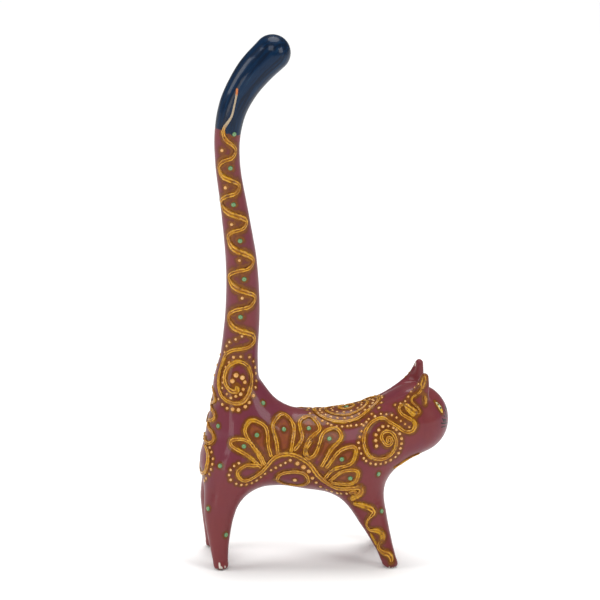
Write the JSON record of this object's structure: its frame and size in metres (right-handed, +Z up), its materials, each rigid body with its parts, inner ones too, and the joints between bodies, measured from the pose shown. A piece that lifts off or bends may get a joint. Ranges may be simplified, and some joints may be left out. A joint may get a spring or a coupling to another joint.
{
  "type": "papier-mache cat ornament",
  "caption": "Tall-tailed cat ornament of lacquered papier-mache, standing on peg legs, with raised piped spirals, petals and dots on its flanks.",
  "frame": {"origin": "on the floor, under the middle of the cat's length and width", "axes": "+X the way the cat looks, +Z up along the tail, +Y to the cat's left"},
  "size_m": [0.1384, 0.0525, 0.2983],
  "materials": {
    "plum_lacquer": "plum paint under clear glossy lacquer, on papier-mache",
    "navy_lacquer": "navy paint under clear glossy lacquer, on papier-mache",
    "gold_line": "raised piped line, gold-yellow with amber shading, lacquered",
    "gold_dot": "small raised dots of pale peach gold, lacquered",
    "green_dot": "raised dots of mid green with a darker middle, lacquered",
    "face_paint": "drops of paint for the eyes, yellow rimmed with a pale green ground and a black pupil, lacquered"
  },
  "bodies": {
    "root": {"cat": "plum_lacquer"}
  },
  "joints": []
}
